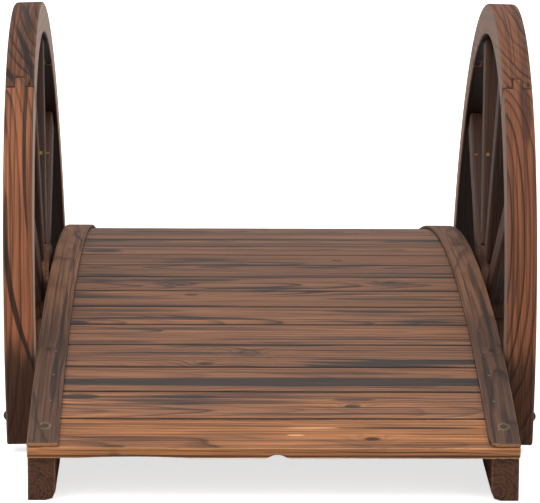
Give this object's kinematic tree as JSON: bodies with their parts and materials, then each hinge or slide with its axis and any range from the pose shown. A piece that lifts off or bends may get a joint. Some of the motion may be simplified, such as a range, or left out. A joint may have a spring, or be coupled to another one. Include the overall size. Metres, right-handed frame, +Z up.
{
  "type": "garden footbridge",
  "caption": "Small arched wooden garden footbridge: planked deck on arched stringers, edge strips, and a spoked half wagon wheel bolted to each side as a railing.",
  "frame": {"origin": "on the ground, midway along and midway across the bridge", "axes": "+Z up, +Y along the walkway from the front end to the back end, +X towards the right side"},
  "size_m": [0.624, 1.3668, 0.4645],
  "materials": {
    "plank": "torched and brown-stained fir, brushed grain, satin",
    "strip": "torched fir, greyer brown, satin",
    "stringer": "torched and brown-stained fir, sawn",
    "rim": "torched fir, orange-brown with dark grain bands",
    "hub": "torched fir",
    "spoke": "torched and brown-stained fir",
    "bolt": "black coated steel",
    "washer": "zinc plated steel",
    "screw": "yellow-grey plated steel, dulled",
    "nail": "bright steel"
  },
  "bodies": {
    "root": {"deck_nails": "nail", "deck_plank_01": "plank", "deck_plank_02": "plank", "deck_plank_03": "plank", "deck_plank_04": "plank", "deck_plank_05": "plank", "deck_plank_06": "plank", "deck_plank_07": "plank", "deck_plank_08": "plank", "deck_plank_09": "plank", "deck_plank_10": "plank", "deck_plank_11": "plank", "deck_plank_12": "plank", "deck_plank_13": "plank", "deck_plank_14": "plank", "deck_plank_15": "plank", "deck_plank_16": "plank", "deck_plank_17": "plank", "deck_plank_18": "plank", "deck_plank_19": "plank", "edge_strip_left": "strip", "edge_strip_right": "strip", "hub_lower_left": "hub", "hub_lower_right": "hub", "hub_upper_left": "hub", "hub_upper_right": "hub", "rim_felloe_back_left": "rim", "rim_felloe_back_right": "rim", "rim_felloe_front_left": "rim", "rim_felloe_front_right": "rim", "rim_felloe_top_left": "rim", "rim_felloe_top_right": "rim", "spoke_back_high_left": "spoke", "spoke_back_high_right": "spoke", "spoke_back_low_left": "spoke", "spoke_back_low_right": "spoke", "spoke_brads": "nail", "spoke_front_high_left": "spoke", "spoke_front_high_right": "spoke", "spoke_front_low_left": "spoke", "spoke_front_low_right": "spoke", "stringer_left": "stringer", "stringer_right": "stringer", "strip_brads": "nail", "strip_screws": "screw", "wheel_bolts": "bolt", "wheel_nuts": "washer", "wheel_washers": "washer"}
  },
  "joints": []
}
